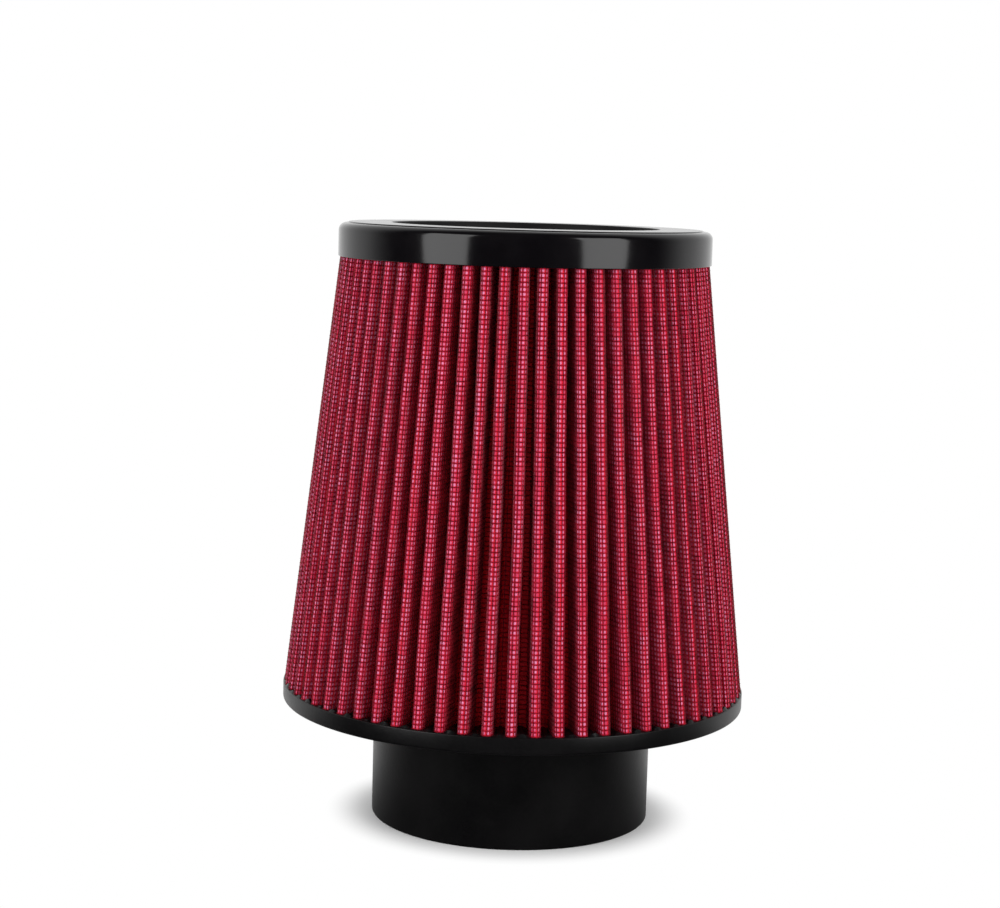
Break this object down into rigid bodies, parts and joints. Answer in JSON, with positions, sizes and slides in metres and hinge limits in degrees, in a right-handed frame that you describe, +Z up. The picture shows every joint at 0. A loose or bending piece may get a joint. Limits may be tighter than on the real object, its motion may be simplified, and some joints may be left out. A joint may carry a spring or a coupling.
{
  "type": "conical air filter",
  "caption": "Conical pleated air filter with a clamp-on neck, a wide base flange, wire cloth over red cotton gauze, and an open cap ring with an inverted pleated cone.",
  "frame": {"origin": "centre of the neck's open end, on which the filter stands", "axes": "+Z up the filter's axis, from the neck to the cap"},
  "size_m": [0.15, 0.15, 0.1925],
  "materials": {
    "moulded_base": "satin black moulded polyurethane",
    "cap_ring": "gloss black moulding",
    "wire_cloth": "fine dark coated wire cloth with red gauze showing through",
    "gauze": "oiled red cotton gauze"
  },
  "bodies": {
    "root": {"neck_base": "moulded_base", "top_cap": "cap_ring", "outer_screen": "wire_cloth", "outer_gauze": "gauze", "inner_cone": "gauze", "cone_plug": "moulded_base"}
  },
  "joints": []
}
